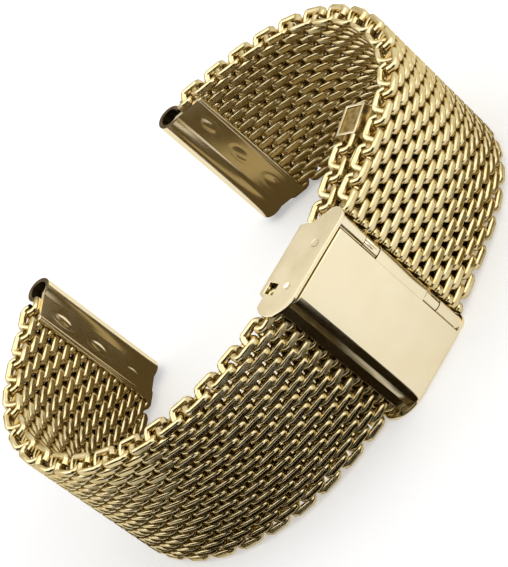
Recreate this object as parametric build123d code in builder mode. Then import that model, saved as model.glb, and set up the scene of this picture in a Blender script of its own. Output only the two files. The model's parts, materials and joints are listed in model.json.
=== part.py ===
from build123d import *
from math import cos, sin, radians
import os

# Milanese mesh band, closed: it stands on one edge, its width along Z.
# X runs along the clasp towards the cover hinge, Y from the cover towards the wrist.

# Woven mesh: flat spirals of wire, each hooked into the next, rolled flat
pitch = 1.9
wire = 0.8
turns = 11
row = 1.84
thick = 2.6
valley = 0.5
flank = 0.45
bead_r = 0.75
bead_gap = 0.1
slit = 0.22
holes = 3
hole_pitch = 5.7
hole_wide = 0.95
hole_len = 0.6

# Clasp body: one strip folded to a channel, its side walls shaped and windowed
side_gap = 0.1
wall = 0.45
mesh_depth = 2.4
floor_gap = 0.1
floor_t = 0.4
fold_r = 0.35
ear_r = 1.35
ear_angle = 60
floor_end = 6.9
heel_x = 7.8
heel_drop = 1.75
heel_back = 1.0
tongue_len = 2.95
window_len = 1.4
window_high = 1.35
window_x = 0.17
window_y = 4.0
dimple_x = 0.85
dimple_y = 1.93
dimple_r = 0.45
dimple_taper = 60
dimple_deep = 0.12

# Cover hinge: a pin held in two rolled sleeves of the body
pin_x = 9.4
pin_y = 1.1
pin_r = 0.5
pin_gap = 0.03
sleeve_r = 1.0
side_play = 0.1

# Cover: folded sheet with side flanges, a rolled knuckle and a finger lip
cover_t = 0.35
knuckle_r = 1.05
knuckle_half = 4.15
notch_gap = 0.2
cover_play = 0.07
flange_depth = 1.0
flange_start = 0.5
flange_end = 8.1
snap_len = 1.5
snap_depth = 2.2
snap_slope = 0.4
bend_r = 0.3
lip_x = 0.65
lip_y = 1.3
lip_reach = 1.6
lip_end_y = 1.95

# Locking lever under the cover, its teeth held against the mesh
lever_x = 6.2
lever_y = 1.6
lever_pin_r = 0.42
lever_pin_gap = 0.03
barrel_r = 0.68
lever_t = 0.4
lever_tip = 0.9
lever_play = 0.2
teeth = 3
tooth_pitch = 0.45
tooth_deep = 0.35
tooth_gap = 0.1

# Strap end piece: two knuckles on the same pin and a plate for the mesh
knuckle_len = 2.25
strap_knuckle_r = 0.95
arm_out = 0.45
arm_in = 0.35
plate_t = 0.35
plate_high = 2.3
plate_play = 0.18

# Watch end pieces: a plate rolled to a tube for the spring bar
lug_w = 19.5
lug_r = 1.2
bar_r = 0.8
lug_plate_t = 0.4
lug_plate_len = 3.3
lug_ridge_r = 0.3
ridge_sides = 8
lozenges = 3
lozenge_pitch = 5.6
lozenge_len = 4.4
lozenge_wide = 0.9
lozenge_deep = 0.15

# Free end of the long strap
cap_len = 1.1
cap_round = 0.45

# Where the straps leave the clasp, and which way each link points
short_x = 10.95
short_y = 1.98
tail_x = 7.3
core_rows = 6
short_headings = [10.5, 10.5, 12.5, 17.5, 26, 38.5, 52.5, 66, 78.5, 90.5, 103.5, 116.5, 128, 136.5, 142, 144.5, 145]
long_headings = [167.5, 164.5, 156, 147, 138, 128.5, 118, 106.5, 95, 83, 71, 59, 47, 35.5, 28, 29, 34]
tail_headings = [18, 17, 18, 15]
overrun = 1.0

# Sizes that follow
half_turn = pitch / 2
mesh_w = (turns - 1) * pitch + half_turn + wire
mesh_half = mesh_w / 2
inner_half = mesh_half + side_gap
outer_half = inner_half + wall
mid_y = mesh_depth + thick / 2
floor_y = mesh_depth + thick + floor_gap
wall_deep = floor_y + floor_t
cover_y = pin_y - knuckle_r
cover_half = inner_half - cover_play
core_len = core_rows * row
sleeve_len = inner_half - knuckle_half - knuckle_len - 2 * side_play
tongue_shares = [(0.76, 0.81), (1.0, 0.58), (0.905, 0.28), (0.49, 0.087)]
foot_shares = [(0.22, 1.0), (0.36, 0.82)]

pieces = []


def keep(piece, label):
    """Name a finished piece and put it on the list."""
    piece.part.label = label
    pieces.append(piece.part)
    return piece.part


def heading_plane(x, y, heading):
    """Plane at a link's start: X along the link, Y across its thickness, Z across the band."""
    return Plane(origin=(x, y, 0), x_dir=(cos(radians(heading)), sin(radians(heading)), 0), z_dir=(0, 0, 1))


def mesh_rows(label, place, rows, start, end):
    """A run of woven rows that moves as one: loops of wire at its start, an eye at its end."""
    length = rows * row
    with BuildPart() as link:
        for i in range(rows):
            near = i * row + (slit if i == 0 and start != "flat" else 0)
            far = (i + 1) * row - (slit if i == rows - 1 and end != "flat" else 0)
            crest = thick / 2
            side = crest - valley
            outline = [(near, side), (near + flank, crest), (far - flank, crest), (far, side)]
            outline += [(x, -y) for x, y in reversed(outline)]
            with BuildSketch(place.offset(-mesh_half)):
                with BuildLine():
                    Polyline(*outline, close=True)
                make_face()
            extrude(amount=mesh_w)
        if start == "bead" and end == "eye" and rows > 1:
            hole_x = (bead_r + row - flank) / 2
            holes_z = [(i - (holes - 1) / 2) * hole_pitch for i in range(holes)]
            with BuildSketch(place * Plane.XZ.offset(-thick)):
                with Locations(*[(hole_x, z) for z in holes_z]):
                    Rectangle(hole_len, hole_wide)
            extrude(amount=2 * thick, mode=Mode.SUBTRACT)
        if start == "bead":
            with BuildSketch(place.offset(-mesh_half)):
                Circle(bead_r)
            extrude(amount=mesh_w)
        eyes = [x for x, kind in ((0, start), (length, end)) if kind == "eye"]
        if eyes:
            with BuildSketch(place.offset(-mesh_half - overrun)):
                with Locations(*[(x, 0) for x in eyes]):
                    Circle(bead_r + bead_gap)
            extrude(amount=mesh_w + 2 * overrun, mode=Mode.SUBTRACT)
    return keep(link, label)


def chain(name, x, y, headings, rows, kinds):
    """Links one after another; returns each hinge point and the plane at the last link's end."""
    hinges = []
    for n, (heading, count, kind) in enumerate(zip(headings, rows, kinds)):
        place = heading_plane(x, y, heading)
        hinges.append((x, y))
        mesh_rows(f"{name}_{n + 1:02d}", place, count, *kind)
        x += count * row * cos(radians(heading))
        y += count * row * sin(radians(heading))
    return hinges, heading_plane(x, y, headings[-1])


def lug_piece(label, place, inner):
    """Plate on the wrist side of the last rows, rolled to a tube; inner is +1 or -1 across the band."""
    back = inner * thick / 2
    skin = back + inner * lug_plate_t
    tube_y = skin - inner * lug_r
    with BuildPart() as lug:
        with BuildSketch(place.offset(-lug_w / 2)):
            with Locations((lug_r, tube_y)):
                Circle(lug_r)
            with Locations(((lug_r - lug_plate_len) / 2, (back + skin) / 2)):
                Rectangle(lug_plate_len + lug_r, lug_plate_t)
            with Locations((-lug_plate_len, skin - inner * lug_ridge_r / 2)):
                RegularPolygon(lug_ridge_r, ridge_sides)
            with Locations((-lug_plate_len / 2, back - inner * thick / 2)):
                Rectangle(lug_plate_len + lug_ridge_r * 2, thick, mode=Mode.SUBTRACT)
            with Locations((lug_r, tube_y)):
                Circle(bar_r, mode=Mode.SUBTRACT)
        extrude(amount=lug_w)
        face = Plane(
            origin=place.from_local_coords((-lug_plate_len / 2, skin, 0)),
            x_dir=(0, 0, 1),
            z_dir=place.y_dir * inner,
        )
        with BuildSketch(face):
            with Locations(*[((i - (lozenges - 1) / 2) * lozenge_pitch, 0) for i in range(lozenges)]):
                with BuildLine():
                    Polyline(
                        (-lozenge_len / 2, 0), (0, lozenge_wide / 2), (lozenge_len / 2, 0),
                        (0, -lozenge_wide / 2), close=True,
                    )
                make_face()
        extrude(amount=-lozenge_deep, mode=Mode.SUBTRACT)
    keep(lug, label)
    return place.from_local_coords((lug_r, tube_y, 0))


# Clasp body
with BuildPart() as clasp_body:
    for side_z in (-outer_half, inner_half):
        with BuildSketch(Plane.XY.offset(side_z)):
            with BuildLine():
                ear_end = (pin_x + ear_r * cos(radians(ear_angle)), ear_r + ear_r * sin(radians(ear_angle)))
                heel = (pin_x - heel_back, wall_deep - heel_drop)
                foot = [(-x * tongue_len, y * wall_deep) for x, y in foot_shares]
                tongue = [(-x * tongue_len, y * wall_deep) for x, y in tongue_shares]
                Line((0, 0), (pin_x, 0))
                ThreePointArc((pin_x, 0), (pin_x + ear_r, ear_r), ear_end)
                Polyline(ear_end, heel, (heel_x, wall_deep), *foot, tongue[0])
                ThreePointArc(*tongue[:3])
                ThreePointArc(tongue[2], tongue[3], (0, 0))
            make_face()
            with Locations((window_x, window_y)):
                Rectangle(window_len, window_high, mode=Mode.SUBTRACT)
            with Locations((lever_x, lever_y)):
                Circle(lever_pin_r + lever_pin_gap, mode=Mode.SUBTRACT)
        extrude(amount=wall)
    with BuildSketch(Plane.XY.offset(-outer_half)):
        with Locations((-foot_shares[0][0] * tongue_len, floor_y)):
            Rectangle(floor_end + foot_shares[0][0] * tongue_len, floor_t, align=(Align.MIN, Align.MIN))
    extrude(amount=2 * outer_half)
    folds = clasp_body.edges().filter_by(Axis.X).group_by(Axis.Y)[-1]
    fillet([edge for edge in folds if abs(edge.center().Z) > inner_half], radius=fold_r)
    for side_z in (-inner_half, inner_half - sleeve_len):
        with BuildSketch(Plane.XY.offset(side_z)):
            with Locations((pin_x, pin_y)):
                Circle(sleeve_r)
                Circle(pin_r + pin_gap, mode=Mode.SUBTRACT)
        extrude(amount=sleeve_len)
    for side in (-1, 1):
        with BuildSketch(Plane.XY.offset(side * outer_half)):
            with Locations((dimple_x, dimple_y)):
                Circle(dimple_r)
        extrude(amount=-side * dimple_deep, taper=dimple_taper, mode=Mode.SUBTRACT)
keep(clasp_body, "clasp_body")

# Cover hinge pin
with BuildPart() as cover_pin:
    with BuildSketch(Plane.XY.offset(-inner_half + pin_gap)):
        with Locations((pin_x, pin_y)):
            Circle(pin_r)
    extrude(amount=2 * (inner_half - pin_gap))
keep(cover_pin, "cover_pin")

# Cover
with BuildPart() as cover:
    notch_x = pin_x - sleeve_r + notch_gap
    with BuildSketch(Plane.XY.offset(-cover_half)):
        with BuildLine():
            FilletPolyline(
                (notch_x, cover_y), (0, cover_y), (-lip_x, lip_y), (-lip_reach, lip_end_y),
                radius=bend_r + cover_t,
            )
            offset(amount=cover_t, side=Side.LEFT)
        make_face()
    extrude(amount=2 * cover_half)
    for side_z in (-cover_half, cover_half - cover_t):
        with BuildSketch(Plane.XY.offset(side_z)):
            with BuildLine():
                flange_y = cover_y + flange_depth
                snap_y = cover_y + snap_depth
                snap_end = flange_start + snap_len
                Polyline(
                    (flange_start, cover_y), (flange_start, snap_y), (snap_end, snap_y),
                    (snap_end + snap_slope, flange_y), (flange_end, flange_y), (flange_end, cover_y),
                    close=True,
                )
            make_face()
        extrude(amount=cover_t)
    with BuildSketch(Plane.XY.offset(-knuckle_half)):
        with Locations((notch_x - cover_t, cover_y)):
            Rectangle(pin_x - notch_x + cover_t, cover_t, align=(Align.MIN, Align.MIN))
        with Locations((pin_x, pin_y)):
            Circle(knuckle_r)
            Circle(pin_r + pin_gap, mode=Mode.SUBTRACT)
    extrude(amount=2 * knuckle_half)
keep(cover, "cover")

# Locking lever
with BuildPart() as lever:
    lever_half = cover_half - cover_t - lever_play
    plate_y = lever_y - barrel_r
    teeth_y = mesh_depth - tooth_gap
    with BuildSketch(Plane.XY.offset(-lever_half)):
        with BuildLine():
            tooth_x = lever_x - barrel_r - teeth * tooth_pitch
            ridge = []
            for i in range(teeth):
                ridge += [(tooth_x + i * tooth_pitch, teeth_y - tooth_deep),
                          (tooth_x + (i + 1) * tooth_pitch, teeth_y)]
            Polyline(
                (lever_x, plate_y), (lever_tip, plate_y), (lever_tip, plate_y + lever_t),
                (tooth_x, plate_y + lever_t), *ridge, (lever_x, teeth_y - tooth_deep), close=True,
            )
        make_face()
        with Locations((lever_x, lever_y)):
            Circle(barrel_r)
            Circle(lever_pin_r + lever_pin_gap, mode=Mode.SUBTRACT)
    extrude(amount=2 * lever_half)
keep(lever, "lever")

# Lever pin, its ends flush with the walls
with BuildPart() as lever_pin:
    with BuildSketch(Plane.XY.offset(-outer_half)):
        with Locations((lever_x, lever_y)):
            Circle(lever_pin_r)
    extrude(amount=2 * outer_half)
keep(lever_pin, "lever_pin")

# Strap end piece on the cover pin
strap_place = heading_plane(short_x, short_y, short_headings[0])
pin_local = strap_place.to_local_coords(Vector(pin_x, pin_y, 0))
with BuildPart() as strap_hook:
    with BuildSketch(strap_place.offset(-inner_half + plate_play)):
        with Locations((-plate_t, -thick / 2)):
            Rectangle(plate_t, plate_high, align=(Align.MIN, Align.MIN))
    extrude(amount=2 * (inner_half - plate_play))
    for side_z in (-knuckle_half - side_play - knuckle_len, knuckle_half + side_play):
        with BuildSketch(strap_place.offset(side_z)):
            with Locations((pin_local.X, pin_local.Y - arm_out)):
                Rectangle(-pin_local.X, arm_out + arm_in, align=(Align.MIN, Align.MIN))
            with Locations((pin_local.X, pin_local.Y)):
                Circle(strap_knuckle_r)
                Circle(pin_r + pin_gap, mode=Mode.SUBTRACT)
        extrude(amount=knuckle_len)
keep(strap_hook, "strap_hook")

# Short strap: one row fixed to the end piece, then hinged pairs of rows, the last but one a single row
mesh_rows("short_link_00", strap_place, 1, "flat", "eye")
first_end = strap_place.from_local_coords((row, 0, 0))
short_count = len(short_headings) - 1
short_hinges, short_end = chain(
    "short_link", first_end.X, first_end.Y, short_headings[1:], [2] * (short_count - 2) + [1, 2],
    [("bead", "eye")] * (short_count - 1) + [("bead", "flat")],
)
short_bar = lug_piece("short_lug", short_end, 1)

# Long strap: rows inside the clasp, then hinged pairs round the wrist, the last but one a single row
core_place = heading_plane(tail_x - core_len, mid_y, 0)
mesh_rows("clasp_rows", core_place, core_rows, "eye", "eye")
long_count = len(long_headings)
long_hinges, long_end = chain(
    "long_link", tail_x - core_len, mid_y, long_headings, [2] * (long_count - 2) + [1, 2],
    [("bead", "eye")] * (long_count - 1) + [("bead", "flat")],
)
long_bar = lug_piece("long_lug", long_end, -1)

# Free end of the long strap, under the short strap
tail_count = len(tail_headings)
tail_hinges, tail_end = chain(
    "tail_link", tail_x, mid_y, tail_headings, [2] * (tail_count - 1) + [1],
    [("bead", "eye")] * (tail_count - 1) + [("bead", "flat")],
)
with BuildPart() as tail_cap:
    with BuildSketch(tail_end.offset(-mesh_half)):
        with Locations((cap_len / 2, 0)):
            RectangleRounded(cap_len, thick, cap_round)
    extrude(amount=mesh_w)
keep(tail_cap, "tail_cap")

# The origin lies under the middle of the band, on the edge it stands on
boxes = [piece.bounding_box() for piece in pieces]
centre_x = (min(box.min.X for box in boxes) + max(box.max.X for box in boxes)) / 2
centre_y = (min(box.min.Y for box in boxes) + max(box.max.Y for box in boxes)) / 2
lowest = min(box.min.Z for box in boxes)
home = Location((-centre_x, -centre_y, -lowest))

os.makedirs("parts", exist_ok=True)
for piece in pieces:
    export_step(piece.moved(home), f"parts/{piece.label}.step")
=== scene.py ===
import json
import math
import bpy
from mathutils import Matrix, Vector


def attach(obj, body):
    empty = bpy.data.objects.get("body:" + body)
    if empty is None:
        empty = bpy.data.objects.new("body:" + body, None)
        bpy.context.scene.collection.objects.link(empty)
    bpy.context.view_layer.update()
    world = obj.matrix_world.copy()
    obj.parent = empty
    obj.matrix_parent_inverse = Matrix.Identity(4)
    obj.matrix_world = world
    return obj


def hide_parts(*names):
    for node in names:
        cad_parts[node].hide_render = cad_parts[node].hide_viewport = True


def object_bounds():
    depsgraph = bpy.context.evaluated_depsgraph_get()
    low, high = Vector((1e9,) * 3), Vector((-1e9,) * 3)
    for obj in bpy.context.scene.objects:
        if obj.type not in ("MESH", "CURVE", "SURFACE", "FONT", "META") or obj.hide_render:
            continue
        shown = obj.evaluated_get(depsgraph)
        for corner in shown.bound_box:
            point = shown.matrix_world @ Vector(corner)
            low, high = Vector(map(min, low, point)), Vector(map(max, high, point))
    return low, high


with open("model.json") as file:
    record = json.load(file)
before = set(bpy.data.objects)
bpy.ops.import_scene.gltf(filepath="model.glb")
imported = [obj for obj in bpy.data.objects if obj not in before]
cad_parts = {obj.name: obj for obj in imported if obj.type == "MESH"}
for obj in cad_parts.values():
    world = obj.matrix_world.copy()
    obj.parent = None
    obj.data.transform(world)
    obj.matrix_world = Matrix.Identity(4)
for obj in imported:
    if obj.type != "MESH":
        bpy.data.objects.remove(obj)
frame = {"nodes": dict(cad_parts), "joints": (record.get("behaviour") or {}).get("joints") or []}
cad_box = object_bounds()

# Studio: the band stands on its edge on a pale sheet, seen from above its clasp through a long lens.
# Two big soft lamps light it. Felt flags on the sheet and cards round it show only in its polished metal.
pin_at = {j["child"]: Vector(j["pos_m"]) for j in frame["joints"] if j["type"] == "hinge"}
camera_off = Vector((-0.05402, -0.166352, 0.136565))
looking = Vector((0.20569, 0.79066, -0.57667))
image_up = Vector((0.83879, 0.16111, 0.52008))
camera = bpy.data.objects.new("camera", bpy.data.cameras.new("camera"))
bpy.context.scene.collection.objects.link(camera)
image_right = looking.cross(image_up).normalized()
turned = Matrix((image_right, image_right.cross(looking), -looking)).transposed()
camera.matrix_world = Matrix.Translation(pin_at["cover"] + camera_off) @ turned.to_4x4()
camera.data.lens = 133.34
camera.data.sensor_width = 36
camera.data.clip_start = 0.01
bpy.context.scene.camera = camera
bpy.context.scene.view_settings.view_transform = "Standard"


def seen_white(tree, plain, white):
    """White to the camera, to mirrors and through glass; the plain shader to everything else."""
    rays = tree.nodes.new("ShaderNodeLightPath")
    first = tree.nodes.new("ShaderNodeMath")
    second = tree.nodes.new("ShaderNodeMath")
    mix = tree.nodes.new("ShaderNodeMixShader")
    first.operation = second.operation = "MAXIMUM"
    tree.links.new(rays.outputs["Is Camera Ray"], first.inputs[0])
    tree.links.new(rays.outputs["Is Glossy Ray"], first.inputs[1])
    tree.links.new(first.outputs[0], second.inputs[0])
    tree.links.new(rays.outputs["Is Transmission Ray"], second.inputs[1])
    tree.links.new(second.outputs[0], mix.inputs[0])
    tree.links.new(plain, mix.inputs[1])
    tree.links.new(white, mix.inputs[2])
    return mix.outputs[0]


bpy.ops.object.select_all(action="DESELECT")
bpy.ops.mesh.primitive_plane_add(size=4, location=(0, 0, 0))
sheet = bpy.context.object
sheet.name = "studio_sheet"
paper = bpy.data.materials.new("studio_paper")
paper.use_nodes = True
tree = paper.node_tree
tree.nodes.clear()
lit = tree.nodes.new("ShaderNodeBsdfDiffuse")
lit.inputs["Color"].default_value = (0.8, 0.8, 0.8, 1)
glow = tree.nodes.new("ShaderNodeEmission")
glow.inputs["Strength"].default_value = 0.37
both = tree.nodes.new("ShaderNodeAddShader")
tree.links.new(lit.outputs[0], both.inputs[0])
tree.links.new(glow.outputs[0], both.inputs[1])
out = tree.nodes.new("ShaderNodeOutputMaterial")
tree.links.new(seen_white(tree, lit.outputs[0], both.outputs[0]), out.inputs["Surface"])
sheet.data.materials.append(paper)

strap_side = 0.0019
flag_lift = 0.0002
upper_lift = 0.0003
right_flag_reach = 0.0105
left_flag_reach = 0.0210
card_foot = 0.01


def beside(kind, first, last, off):
    """Corners of a flag along a strap's outer side, this far from the strap's middle line."""
    corners = []
    for k in range(first, last):
        here, beyond = pin_at[f"{kind}_link_{k:02d}"], pin_at[f"{kind}_link_{k + 1:02d}"]
        way = (beyond - here).normalized()
        out_way = Vector((way.y, -way.x, 0)) if kind == "short" else Vector((-way.y, way.x, 0))
        corners.append((here.x + out_way.x * off, here.y + out_way.y * off, upper_lift))
    return corners


def standing(start, end, top):
    """Corners of a card that stands on edge from one place to another."""
    return [(*start, card_foot), (*start, top), (*end, top), (*end, card_foot)]


for name, tone, corners in (
    ("flag_front", (0.013, 0.008, 0.003), [
        (0.0015, -0.053, flag_lift), (-0.0048, -0.0226, flag_lift), *beside("long", 1, 9, strap_side),
        (-0.045, -0.010, flag_lift), (-0.075, -0.035, flag_lift), (-0.060, -0.053, flag_lift)]),
    ("flag_right", (0.20, 0.15, 0.055), [
        *beside("short", 2, 14, strap_side), *reversed(beside("short", 2, 14, right_flag_reach))]),
    ("flag_left", (0.060, 0.044, 0.020), [
        *beside("long", 8, 15, strap_side), *reversed(beside("long", 8, 15, left_flag_reach))]),
    ("flag_inside", (0.095, 0.066, 0.026), [
        (-0.022, -0.012, flag_lift), (0.020, -0.012, flag_lift), (0.022, 0.0175, flag_lift),
        (-0.014, 0.0215, flag_lift), (-0.0225, 0.0155, flag_lift), (-0.025, 0.0, flag_lift)]),
    ("flag_middle", (0.42, 0.33, 0.17), [
        (-0.015, 0.0025, upper_lift), (0.012, 0.0035, upper_lift),
        (0.012, 0.0100, upper_lift), (-0.015, 0.0095, upper_lift)]),
    ("card_front", (0.014, 0.010, 0.005), standing((0.05, -0.30), (-0.24, -0.20), 0.42)),
    ("card_left", (0.055, 0.040, 0.018), standing((-0.25, -0.20), (-0.30, 0.12), 0.36)),
    ("card_back", (0.70, 0.675, 0.62), standing((0.35, 0.45), (-0.10, 0.50), 0.60)),
):
    bpy.ops.object.select_all(action="DESELECT")
    bpy.ops.mesh.primitive_circle_add(vertices=len(corners), radius=1, fill_type="NGON")
    flag = bpy.context.object
    flag.name = name
    for vertex, corner in zip(flag.data.vertices, corners):
        vertex.co = corner
    felt = bpy.data.materials.new(name + "_felt")
    felt.use_nodes = True
    tree = felt.node_tree
    tree.nodes.clear()
    even = tree.nodes.new("ShaderNodeEmission")
    even.inputs["Color"].default_value = (*tone, 1)
    out = tree.nodes.new("ShaderNodeOutputMaterial")
    tree.links.new(even.outputs[0], out.inputs["Surface"])
    flag.data.materials.append(felt)
    flag.visible_camera = flag.visible_diffuse = flag.visible_shadow = False

room = bpy.data.worlds.new("studio_room")
bpy.context.scene.world = room
room.use_nodes = True
tree = room.node_tree
tree.nodes.clear()
dim = tree.nodes.new("ShaderNodeBackground")
dim.inputs["Color"].default_value = (1, 1, 1, 1)
dim.inputs["Strength"].default_value = 0.45
bright = tree.nodes.new("ShaderNodeBackground")
bright.inputs["Color"].default_value = (1, 1, 1, 1)
out = tree.nodes.new("ShaderNodeOutputWorld")
tree.links.new(seen_white(tree, dim.outputs[0], bright.outputs[0]), out.inputs["Surface"])

lamp_aim = Vector((0, 0, 0.01))
lamp_size = 0.60
lamp_watts = 1.2
for name, place in (("lamp_right", (0.35, -0.30, 0.35)), ("lamp_over", (-0.05, 0.15, 0.50))):
    lamp = bpy.data.lights.new(name, "AREA")
    lamp.size = lamp_size
    lamp.energy = lamp_watts
    holder = bpy.data.objects.new(name, lamp)
    bpy.context.scene.collection.objects.link(holder)
    holder.location = place
    holder.rotation_euler = (lamp_aim - Vector(place)).to_track_quat("-Z", "Y").to_euler()

# Plating: a thin champagne gold layer over steel. It is rubbed paler on what touches, duller in between,
# and carries fine lines from rolling and polishing. Wire and sheet share the pattern with their own values.
line_stretch = (1.0, 1.0, 0.06)
line_share = 0.45
patch_share = 0.55
plating = bpy.data.node_groups.new("plating", "ShaderNodeTree")
for name, kind in (
    ("Place", "NodeSocketVector"),
    ("Fresh", "NodeSocketColor"),
    ("Rubbed", "NodeSocketColor"),
    ("Patch Scale", "NodeSocketFloat"),
    ("Line Scale", "NodeSocketFloat"),
    ("Smoothest", "NodeSocketFloat"),
    ("Roughest", "NodeSocketFloat"),
):
    plating.interface.new_socket(name, in_out="INPUT", socket_type=kind)
for name, kind in (
    ("Color", "NodeSocketColor"),
    ("Roughness", "NodeSocketFloat"),
    ("Height", "NodeSocketFloat"),
):
    plating.interface.new_socket(name, in_out="OUTPUT", socket_type=kind)
given = plating.nodes.new("NodeGroupInput")
result = plating.nodes.new("NodeGroupOutput")
patches = plating.nodes.new("ShaderNodeTexNoise")
patches.inputs["Detail"].default_value = 4
patch_mask = plating.nodes.new("ShaderNodeMapRange")
patch_mask.inputs["From Min"].default_value = 0.38
patch_mask.inputs["From Max"].default_value = 0.62
stretch = plating.nodes.new("ShaderNodeVectorMath")
stretch.operation = "MULTIPLY"
stretch.inputs[1].default_value = line_stretch
lines = plating.nodes.new("ShaderNodeTexNoise")
lines.inputs["Detail"].default_value = 2
tone = plating.nodes.new("ShaderNodeMix")
tone.data_type = "RGBA"
patch_wear = plating.nodes.new("ShaderNodeMath")
patch_wear.operation = "MULTIPLY"
patch_wear.inputs[1].default_value = patch_share
all_wear = plating.nodes.new("ShaderNodeMath")
all_wear.operation = "MULTIPLY_ADD"
all_wear.inputs[1].default_value = line_share
gloss = plating.nodes.new("ShaderNodeMapRange")
for source, target in (
    (given.outputs["Place"], patches.inputs["Vector"]),
    (given.outputs["Patch Scale"], patches.inputs["Scale"]),
    (given.outputs["Place"], stretch.inputs[0]),
    (stretch.outputs[0], lines.inputs["Vector"]),
    (given.outputs["Line Scale"], lines.inputs["Scale"]),
    (patches.outputs[0], patch_mask.inputs["Value"]),
    (patch_mask.outputs[0], tone.inputs["Factor"]),
    (given.outputs["Fresh"], tone.inputs["A"]),
    (given.outputs["Rubbed"], tone.inputs["B"]),
    (tone.outputs["Result"], result.inputs["Color"]),
    (patch_mask.outputs[0], patch_wear.inputs[0]),
    (lines.outputs[0], all_wear.inputs[0]),
    (patch_wear.outputs[0], all_wear.inputs[2]),
    (all_wear.outputs[0], gloss.inputs["Value"]),
    (given.outputs["Smoothest"], gloss.inputs["To Min"]),
    (given.outputs["Roughest"], gloss.inputs["To Max"]),
    (gloss.outputs[0], result.inputs["Roughness"]),
    (lines.outputs[0], result.inputs["Height"]),
):
    plating.links.new(source, target)


def plated(name, fresh, rubbed, patch_scale, line_scale, smoothest, roughest, relief):
    """A gilt metal: its two tones, how fine its patches and lines are, its gloss and the lines' depth."""
    metal = bpy.data.materials.new(name)
    metal.use_nodes = True
    tree = metal.node_tree
    shader = tree.nodes["Principled BSDF"]
    shader.inputs["Metallic"].default_value = 1
    shader.inputs["Specular Tint"].default_value = (*rubbed, 1)
    place = tree.nodes.new("ShaderNodeTexCoord")
    pattern = tree.nodes.new("ShaderNodeGroup")
    pattern.node_tree = plating
    pattern.inputs["Fresh"].default_value = (*fresh, 1)
    pattern.inputs["Rubbed"].default_value = (*rubbed, 1)
    pattern.inputs["Patch Scale"].default_value = patch_scale
    pattern.inputs["Line Scale"].default_value = line_scale
    pattern.inputs["Smoothest"].default_value = smoothest
    pattern.inputs["Roughest"].default_value = roughest
    bump = tree.nodes.new("ShaderNodeBump")
    bump.inputs["Strength"].default_value = 0.5
    bump.inputs["Distance"].default_value = relief
    for source, target in (
        (place.outputs["Object"], pattern.inputs["Place"]),
        (pattern.outputs["Color"], shader.inputs["Base Color"]),
        (pattern.outputs["Roughness"], shader.inputs["Roughness"]),
        (pattern.outputs["Height"], bump.inputs["Height"]),
        (bump.outputs[0], shader.inputs["Normal"]),
    ):
        tree.links.new(source, target)
    return metal


# Mesh rows: each row is one flat spiral of gilt steel wire, hooked into the spirals before and after it.
# The finished mesh is rolled until the strands lie flat on both faces, and each wire is cut halfway round
# its last bend. The wire is paler where it is rolled and polished, on the mesh's faces and edges. Inside the
# mesh it is painted dark: painted shade between the wires, with some tarnish as well.
turn_pitch = 0.0019
turns = 11
row = 0.00184
thick = 0.0026
wire_wide = 0.00094
wire_deep = 0.00084
strand_y = 0.00100
strand_half = 0.00092
bend_reach = 0.00045
rolled_off = 1e-7
ring_sides = 14
bend_steps = 6
painted_shade_within_y = 0.00062
rolled_edge = 50
middle = (cad_box[0].z + cad_box[1].z) / 2
spiral_high = turn_pitch * (turns - 1) + turn_pitch / 2


def wind(at, to, lean):
    """The wire runs on to a point, and its section leans over by this much there."""
    bpy.ops.mesh.extrude_region_move(TRANSFORM_OT_translate={"value": to - at})
    if lean:
        bpy.ops.transform.rotate(value=lean, orient_axis="Z", center_override=to)
    return to


def on_edge(side, angle, z):
    """A point of the half turn at one edge of the spiral, and how far the wire leans there."""
    off_x = strand_half + bend_reach * math.sin(angle)
    off_y = strand_y * math.cos(angle)
    lean = math.atan2(strand_y * math.sin(angle), bend_reach * math.cos(angle))
    return Vector((side * off_x, side * off_y, z)), lean


def half_turn(at, side, lift, first=0, last=bend_steps):
    """Round one edge of the spiral, from one face of the mesh to the other: side is +1 or -1."""
    base = at.z
    facing = on_edge(side, math.pi * first / bend_steps, 0)[1]
    for step in range(first + 1, last + 1):
        angle = math.pi * step / bend_steps
        to, slope = on_edge(side, angle, base + lift * (1 - math.cos(angle)) / 2)
        at = wind(at, to, slope - facing)
        facing = slope
    return at


def strand(at, side):
    """Straight across one face of the mesh."""
    return wind(at, Vector((side * strand_half, at.y, at.z)), 0)


bpy.ops.object.select_all(action="DESELECT")
at = on_edge(-1, math.pi / 2, -spiral_high / 2)[0]
bpy.ops.mesh.primitive_circle_add(
    vertices=ring_sides, radius=wire_wide / 2, location=at, rotation=(math.pi / 2, 0, 0), fill_type="NGON")
spiral = bpy.context.object
spiral.name = "spiral"
bpy.ops.object.transform_apply(location=True, rotation=True, scale=True)
bpy.ops.object.mode_set(mode="EDIT")
bpy.ops.mesh.select_all(action="SELECT")
bpy.ops.transform.rotate(value=math.pi / ring_sides, orient_axis="Y", center_override=at)
bpy.ops.transform.resize(value=(wire_deep / wire_wide, 1, 1), center_override=at)
at = half_turn(at, -1, 0, first=bend_steps // 2)
at = strand(at, 1)
for n in range(turns):
    at = half_turn(at, 1, turn_pitch / 2)
    at = strand(at, -1)
    if n < turns - 1:
        at = half_turn(at, -1, turn_pitch / 2)
        at = strand(at, 1)
at = half_turn(at, -1, 0, last=bend_steps // 2)
bpy.ops.mesh.select_all(action="SELECT")
bpy.ops.mesh.normals_make_consistent(inside=False)
bpy.ops.object.mode_set(mode="OBJECT")
for vertex in spiral.data.vertices:
    vertex.co.y = max(-thick / 2, min(thick / 2, vertex.co.y))
bpy.ops.object.shade_smooth_by_angle(angle=math.radians(rolled_edge))
for face in spiral.data.polygons:
    if all(abs(spiral.data.vertices[v].co.y) > thick / 2 - rolled_off for v in face.vertices):
        face.use_smooth = False
    # Faces deep inside the mesh, away from its edges, take the dark wire: painted shade between the wires,
    # partly tarnish.
    if abs(face.center.y) < painted_shade_within_y and abs(face.center.z) < spiral_high / 2 - turn_pitch / 2:
        face.material_index = 1
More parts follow.
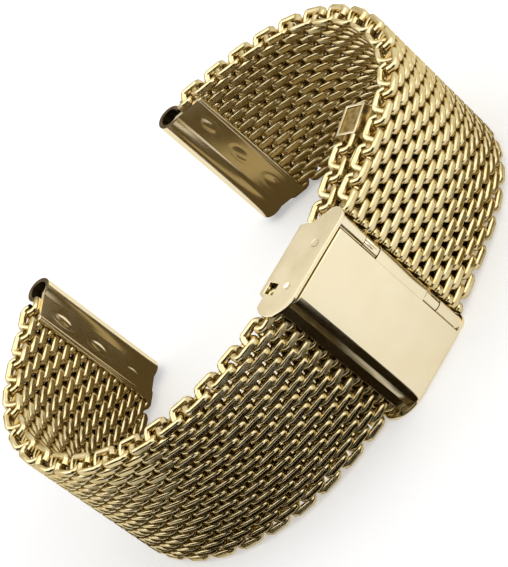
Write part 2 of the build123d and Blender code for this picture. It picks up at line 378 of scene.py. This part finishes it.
gilt_wire = plated(
    "gilt_wire", fresh=(0.66, 0.53, 0.27), rubbed=(0.75, 0.635, 0.375), patch_scale=900, line_scale=6000,
    smoothest=0.15, roughest=0.30, relief=0.0000012)
# Painted shade: this dark wire colour stands for the shade inside the mesh, with some tarnish.
wire_tarnish_and_shade = plated(
    "wire_tarnish_and_shade", fresh=(0.22, 0.155, 0.06), rubbed=(0.36, 0.27, 0.12), patch_scale=1500, line_scale=6000,
    smoothest=0.28, roughest=0.45, relief=0.0000012)
spiral.data.materials.append(gilt_wire)
spiral.data.materials.append(wire_tarnish_and_shade)

# Straps: the rows of each link are the same spiral, copied and turned over by turns so that it hooks into
# its neighbours. The last rows are cut where a watch end is folded over them, and the first at the clasp.
least_curl = 0.001
lug_overlap = 0.00052
hook_reach = 0.00045
cut_row_in = 0.0001
first_heading = 10.5
short_count, short_end_heading = 16, 145
long_count, long_end_heading = 17, 34
tail_count, tail_heading = 4, 15
clasp_row_count = 6
end_rows = 2


def along(heading):
    """One unit along the strap where it points this way."""
    return Vector((math.cos(math.radians(heading)), math.sin(math.radians(heading)), 0))


def bend_to(coil, curl, flipped):
    """Bends a spiral with the strap's curve: curl is the strap's turn over the spiral's own length."""
    bpy.ops.object.select_all(action="DESELECT")
    bpy.context.view_layer.objects.active = coil
    curve = coil.modifiers.new("curve", "SIMPLE_DEFORM")
    curve.deform_method = "BEND"
    curve.deform_axis = "Z"
    curve.angle = -curl if flipped else curl
    bpy.ops.object.modifier_apply(modifier=curve.name)


def weave(label, node, body, start, headings, rows, first, base_turn, ground=()):
    """The rows of one link. Headings are the last link's, its own and the next link's: each row is turned
    a little towards its neighbours, so that the strap curves evenly. Ground gives planes to cut at."""
    before, heading, after = headings
    made = []
    for i in range(rows):
        share = (i + 0.5) / rows - 0.5
        turn = heading + share * ((after - heading) if share > 0 else (heading - before))
        place = start + along(heading) * row * (i + 0.5)
        place.z = middle
        coil = spiral.copy()
        coil.data = spiral.data.copy()
        bpy.context.scene.collection.objects.link(coil)
        swap = (180 * ((first + i) % 2) + base_turn) % 360
        curl = math.radians(after - before) / 2 / rows * coil.dimensions.x / row
        if abs(curl) > least_curl:
            bend_to(coil, curl, swap == 180)
        coil.data.transform(Matrix.Translation(place) @ Matrix.Rotation(math.radians(turn + swap), 4, "Z"))
        made.append(coil)
    bpy.ops.object.select_all(action="DESELECT")
    for coil in made:
        coil.select_set(True)
    bpy.context.view_layer.objects.active = made[0]
    if len(made) > 1:
        bpy.ops.object.join()
    piece = bpy.context.object
    piece.name = label
    for on_plane, outwards in ground:
        bpy.ops.object.select_all(action="DESELECT")
        piece.select_set(True)
        bpy.ops.object.mode_set(mode="EDIT")
        bpy.ops.mesh.select_all(action="SELECT")
        bpy.ops.mesh.bisect(plane_co=on_plane, plane_no=outwards, use_fill=True, clear_outer=True)
        bpy.ops.object.mode_set(mode="OBJECT")
    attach(piece, body)
    if node:
        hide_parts(node)


def weave_strap(kind, count, last_heading, last_rows, before, first, base_turn):
    """A strap's hinged links, from the clasp outwards: where each points and how many rows it has."""
    pins = [pin_at[f"{kind}_link_{k:02d}"] for k in range(1, count + 1)]
    steps = [pins[k + 1] - pins[k] for k in range(count - 1)]
    headings = [math.degrees(math.atan2(step.y, step.x)) for step in steps] + [last_heading]
    rows = [round(step.length / row) for step in steps] + [last_rows]
    for k in range(count):
        name = f"{kind}_link_{k + 1:02d}"
        after = headings[k + 1] if k + 1 < count else headings[k]
        ground = ()
        if k + 1 == count and kind != "tail":
            way = along(headings[k])
            ground = ((pins[k] + way * (row * rows[k] - lug_overlap), way),)
        weave(f"{kind}_rows_{k + 1:02d}", name, name, pins[k], (before, headings[k], after),
              rows[k], first, base_turn, ground)
        before = headings[k]
        first += rows[k]


first_way = along(first_heading)
first_across = Vector((-first_way.y, first_way.x, 0))
first_start = pin_at["short_link_01"] - first_way * row
knuckle_side = (first_start - first_way * hook_reach, -first_way)
inner_side = (first_start + first_across * cut_row_in, first_across)
straight_on = (first_heading, first_heading, first_heading)
weave("short_rows_00", "short_link_00", "strap_end", first_start, straight_on,
      rows=1, first=0, base_turn=0, ground=(knuckle_side,))
weave("cut_row", None, "strap_end", first_start - first_way * row, straight_on,
      rows=1, first=-1, base_turn=0, ground=(knuckle_side, inner_side))
weave_strap("short", short_count, short_end_heading, end_rows, before=first_heading, first=1, base_turn=0)
weave("clasp_rows_woven", "clasp_rows", "clasp_rows", pin_at["long_link_01"], (0, 0, 0),
      rows=clasp_row_count, first=0, base_turn=0)
weave_strap("long", long_count, long_end_heading, end_rows, before=180, first=1, base_turn=180)
weave_strap("tail", tail_count, tail_heading, 1, before=0, first=clasp_row_count, base_turn=0)
bpy.data.objects.remove(spiral)

# Pins and lever: the turned cover pin and lever pin, and the lever with its barrel and teeth, are shown as
# the CAD has them. Every CAD solid gets the plating of sheet, so that copies of them start with it.
gilt_sheet = plated(
    "gilt_sheet", fresh=(0.84, 0.735, 0.505), rubbed=(0.865, 0.765, 0.545), patch_scale=260,
    line_scale=5200, smoothest=0.13, roughest=0.21, relief=0.0000012)
for node in frame["nodes"].values():
    node.data.materials.clear()
    node.data.materials.append(gilt_sheet)

# Clasp body and cover: stamped from gilt steel sheet, folded, rolled round the pin, then polished.
# Their edges are slightly rounded. They take the place of the CAD's sharp-edged solids.
edge_round = 0.00007
folded_over = 40
polished_smooth = 32
loose = 0.000001
flat_within = 1


def merged_copy(node, name):
    """A copy of a CAD node with its loose triangles joined up into clean faces."""
    source = frame["nodes"][node]
    piece = source.copy()
    piece.data = source.data.copy()
    piece.name = name
    bpy.context.scene.collection.objects.link(piece)
    bpy.ops.object.select_all(action="DESELECT")
    piece.select_set(True)
    bpy.context.view_layer.objects.active = piece
    bpy.ops.object.mode_set(mode="EDIT")
    bpy.ops.mesh.select_all(action="SELECT")
    bpy.ops.mesh.remove_doubles(threshold=loose)
    bpy.ops.mesh.dissolve_limited(angle_limit=math.radians(flat_within))
    bpy.ops.object.mode_set(mode="OBJECT")
    return piece


def soften(piece, width, sharper_than):
    """Rounds the edges that are sharper than this many degrees, as tumbling and polishing leave them."""
    bevel = piece.modifiers.new("soften", "BEVEL")
    bevel.width = width
    bevel.segments = 2
    bevel.limit_method = "ANGLE"
    bevel.angle_limit = math.radians(sharper_than)
    bpy.context.view_layer.objects.active = piece
    bpy.ops.object.modifier_apply(modifier=bevel.name)
    bpy.ops.object.select_all(action="DESELECT")
    piece.select_set(True)
    bpy.ops.object.shade_smooth_by_angle(angle=math.radians(polished_smooth))
    even = piece.modifiers.new("even", "WEIGHTED_NORMAL")
    even.keep_sharp = True
    bpy.ops.object.modifier_apply(modifier=even.name)


for node, body in (("clasp_body", "clasp"), ("cover", "cover")):
    piece = merged_copy(node, f"{node}_polished")
    soften(piece, edge_round, folded_over)
    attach(piece, body)
    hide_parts(node)

# Strap hook: a stamped plate with two knuckles rolled round the cover pin, the first mesh row soldered on.
# The plate's outer edge lies below the mesh's face, so that the row runs right up to the knuckles.
hook_edge = -0.0006
hook_plate_from = -0.0004
hook = merged_copy("strap_hook", "strap_hook_polished")
hook_place = Matrix.Translation(first_start) @ Matrix.Rotation(math.radians(first_heading), 4, "Z")
for vertex in hook.data.vertices:
    local = hook_place.inverted() @ vertex.co
    if local.x > hook_plate_from and local.y < hook_edge:
        local.y = hook_edge
        vertex.co = hook_place @ local
soften(hook, edge_round / 2, folded_over)
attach(hook, "strap_end")
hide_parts("strap_hook")

# Tail cap: sheet folded round the free end of the long strap and pressed onto its last row, which shows
# in the fold's open sides, filled with solder. It keeps the cut wires from scratching.
cap_long, cap_thick, cap_high = 0.0040, 0.0027, 0.0210
cap_wall, cap_sunk, cap_back = 0.00032, 0.00025, 0.0004
cap_tilt = 3
upright = 0.9
bpy.ops.object.select_all(action="DESELECT")
bpy.ops.mesh.primitive_cube_add(size=1, location=(cap_long / 2 - cap_back, 0, 0))
cap = bpy.context.object
cap.name = "tail_cap_folded"
bpy.ops.transform.resize(value=(cap_long, cap_thick, cap_high))
bpy.ops.object.transform_apply(location=True, rotation=True, scale=True)
cap.data.materials.append(gilt_sheet)
# The cap's sunk ends take the dark wire colour, the same painted shade and tarnish as inside the mesh.
cap.data.materials.append(wire_tarnish_and_shade)
for side in (-1, 1):
    bpy.ops.object.mode_set(mode="EDIT")
    bpy.ops.mesh.select_mode(type="FACE")
    bpy.ops.mesh.select_all(action="DESELECT")
    bpy.ops.object.mode_set(mode="OBJECT")
    for face in cap.data.polygons:
        face.select = side * face.normal.z > upright
    bpy.ops.object.mode_set(mode="EDIT")
    bpy.ops.mesh.inset(thickness=cap_wall, depth=0)
    bpy.ops.mesh.extrude_region_move(TRANSFORM_OT_translate={"value": (0, 0, -side * cap_sunk)})
    bpy.context.object.active_material_index = 1
    bpy.ops.object.material_slot_assign()
    bpy.ops.object.mode_set(mode="OBJECT")
soften(cap, edge_round, folded_over)
end = pin_at["tail_link_04"] + along(tail_heading) * row
end.z = middle
cap.data.transform(Matrix.Translation(end) @ Matrix.Rotation(math.radians(tail_heading + cap_tilt), 4, "Z"))
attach(cap, "tail_link_04")
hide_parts("tail_cap")

# Watch ends: a gilt steel plate behind the last rows, stamped with three shallow ovals with a raised middle
# that grip the mesh, and rolled to a tube for the spring bar. The tube's bore is painted dark as shade.
tube_wide, tube_bore, tube_high = 0.0033, 0.0023, 0.0195
tube_x, tube_y = 0.0012, 0.0005
tube_sides, bore_sides = 56, 48
plate_long, plate_thick = 0.0033, 0.0004
lip_wide, lip_in_share, lip_sides = 0.00036, 0.7, 24
stamp_pitch, stamp_long, stamp_wide, stamp_deep = 0.0061, 0.0046, 0.0019, 0.00004
stud_long, stud_wide, stud_proud = 0.0030, 0.0011, 0.00005
stud_high = stamp_deep + stud_proud
stamp_off = 0.0001
stamp_x = stamp_off - plate_long / 2
caps_in_half, cap_share = 3, 0.745
trim_deep, trim_over, trim_back = 0.001, 0.002, 0.0004
cut_over = 1.2
bore_margin = 0.00004
skin = thick / 2 + plate_thick
lug_round, lug_folded_over = edge_round * 0.8, 38
# Painted shade: the inside of the tube is coloured dark.
bore_painted_shade = plated(
    "bore_painted_shade", fresh=(0.10, 0.075, 0.045), rubbed=(0.20, 0.155, 0.09), patch_scale=700, line_scale=3000,
    smoothest=0.35, roughest=0.55, relief=0.000002)


def merge_with(piece, tool, operation):
    """Adds the tool to the piece, or cuts it away."""
    join = piece.modifiers.new("join", "BOOLEAN")
    join.operation = operation
    join.solver = "EXACT"
    join.object = tool
    bpy.ops.object.select_all(action="DESELECT")
    bpy.context.view_layer.objects.active = piece
    bpy.ops.object.modifier_apply(modifier=join.name)
    bpy.data.objects.remove(tool)


def bar(sides, radius, high, x, y):
    """A round bar standing along Z."""
    bpy.ops.object.select_all(action="DESELECT")
    bpy.ops.mesh.primitive_cylinder_add(vertices=sides, radius=radius, depth=high, location=(x, y, 0))
    bpy.ops.object.transform_apply(location=True, rotation=True, scale=True)
    return bpy.context.object


def block(long, thick_y, high, x, y):
    """A block of these sizes with its middle here."""
    bpy.ops.object.select_all(action="DESELECT")
    bpy.ops.mesh.primitive_cube_add(size=1, location=(x, y, 0))
    bpy.ops.transform.resize(value=(long, thick_y, high))
    bpy.ops.object.transform_apply(location=True, rotation=True, scale=True)
    return bpy.context.object


def lens(wide, long, high, face_y, out, z):
    """A flat ball of which a cap this wide, long and high goes past a face: out is +1 where the cap stands
    up from the face and -1 where it goes in. Half the ball is three caps high, so it meets the face gently."""
    bpy.ops.object.select_all(action="DESELECT")
    bpy.ops.mesh.primitive_uv_sphere_add(
        segments=28, ring_count=16, radius=0.5, rotation=(math.pi / 2, 0, 0))
    bpy.ops.object.transform_apply(location=True, rotation=True, scale=True)
    bpy.ops.transform.resize(value=(wide / cap_share, 2 * caps_in_half * high, long / cap_share))
    bpy.ops.object.transform_apply(location=True, rotation=True, scale=True)
    middle_y = face_y - out * (caps_in_half - 1) * high
    bpy.context.object.data.transform(Matrix.Translation((stamp_x, middle_y, z)))
    return bpy.context.object


plate_y = thick / 2 + plate_thick / 2
lug = block(tube_x + plate_long, plate_thick, tube_high, (tube_x - plate_long) / 2, plate_y)
merge_with(lug, bar(lip_sides, lip_wide, tube_high, -plate_long, skin - lip_wide * lip_in_share), "UNION")
merge_with(lug, bar(tube_sides, tube_wide / 2, tube_high, tube_x, tube_y), "UNION")
merge_with(lug, bar(bore_sides, tube_bore / 2, tube_high * cut_over, tube_x, tube_y), "DIFFERENCE")
for k in (-1, 0, 1):
    pit = lens(stamp_wide, stamp_long, stamp_deep, skin, -1, k * stamp_pitch)
    merge_with(lug, pit, "DIFFERENCE")
    stud = lens(stud_wide, stud_long, stud_high, skin - stamp_deep, 1, k * stamp_pitch)
    merge_with(lug, stud, "UNION")
trim_y = thick / 2 - trim_deep / 2
trim = block(plate_long + trim_over, trim_deep, tube_high * cut_over, -plate_long / 2, trim_y)
trim.data.transform(Matrix.Translation((-trim_back, 0, 0)))
merge_with(lug, trim, "DIFFERENCE")
lug.data.materials.clear()
lug.data.materials.append(gilt_sheet)
lug.data.materials.append(bore_painted_shade)
soften(lug, lug_round, lug_folded_over)
# Faces of the bore take the dark material: painted shade inside the tube.
for face in lug.data.polygons:
    off_axis = Vector((face.center.x - tube_x, face.center.y - tube_y, 0))
    if off_axis.length < tube_bore / 2 + bore_margin and face.normal.dot(off_axis) < 0:
        face.material_index = 1
for kind, last, heading, flip in (
    ("short", short_count, short_end_heading, 0),
    ("long", long_count, long_end_heading, 180),
):
    piece = lug.copy()
    piece.data = lug.data.copy()
    piece.name = f"{kind}_lug_rolled"
    bpy.context.scene.collection.objects.link(piece)
    end = pin_at[f"{kind}_link_{last:02d}"] + along(heading) * row * end_rows
    end.z = middle
    turned_over = Matrix.Rotation(math.radians(flip), 4, "X")
    piece.data.transform(
        Matrix.Translation(end) @ Matrix.Rotation(math.radians(heading), 4, "Z") @ turned_over)
    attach(piece, f"{kind}_link_{last:02d}")
    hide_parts(f"{kind}_lug")
bpy.data.objects.remove(lug)
